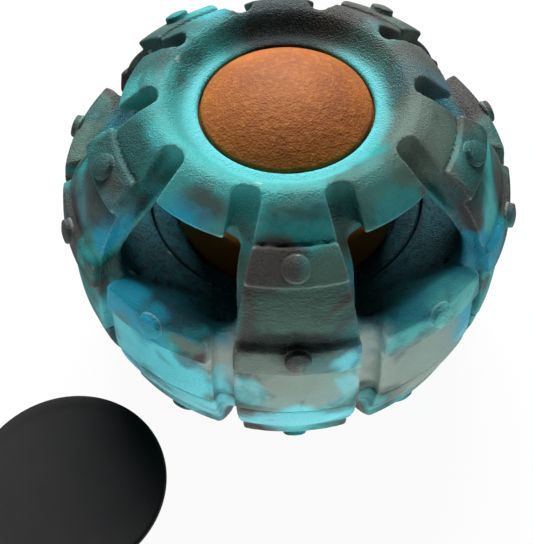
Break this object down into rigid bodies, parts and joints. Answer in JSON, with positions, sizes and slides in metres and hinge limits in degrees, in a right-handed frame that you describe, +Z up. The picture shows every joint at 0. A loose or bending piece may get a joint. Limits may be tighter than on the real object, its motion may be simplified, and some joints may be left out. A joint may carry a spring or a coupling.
{
  "type": "treat dispensing ball",
  "caption": "Tyre-treaded rubber treat ball: windowed shell that screws onto a base cap, with a moulded treat seated inside and a stopper for its mouth.",
  "frame": {"origin": "centre of the base cap's foot, on the surface that the ball stands on", "axes": "+Z up through the mouth, -Y towards the front rib of the shell"},
  "size_m": [0.1343, 0.1416, 0.0805],
  "materials": {
    "marbled_rubber": "satin",
    "moulded_treat": "matte",
    "black_silicone": "satin"
  },
  "bodies": {
    "base": {"base_cap": "marbled_rubber"},
    "treat": {"treat_ball": "moulded_treat"},
    "shell": {"top_shell": "marbled_rubber"},
    "stopper": {"stopper": "black_silicone"}
  },
  "joints": [
    {"name": "closure_turn", "type": "hinge", "parent": "base", "child": "treat", "pos_m": [0, 0, 0.0288], "axis": [0, 0, 1], "range_deg": [0, 288]},
    {"name": "closure_rise", "type": "slide", "parent": "treat", "child": "shell", "axis": [0, 0, 1], "range_m": [0, 0.0096]},
    {"name": "stopper_lift", "type": "slide", "parent": "base", "child": "stopper", "axis": [0, 0, 1], "range_m": [0, 0.09]}
  ],
  "couplings": [
    {"joint": "closure_rise", "follows": "closure_turn", "m_per_rad": 0.0019098}
  ]
}
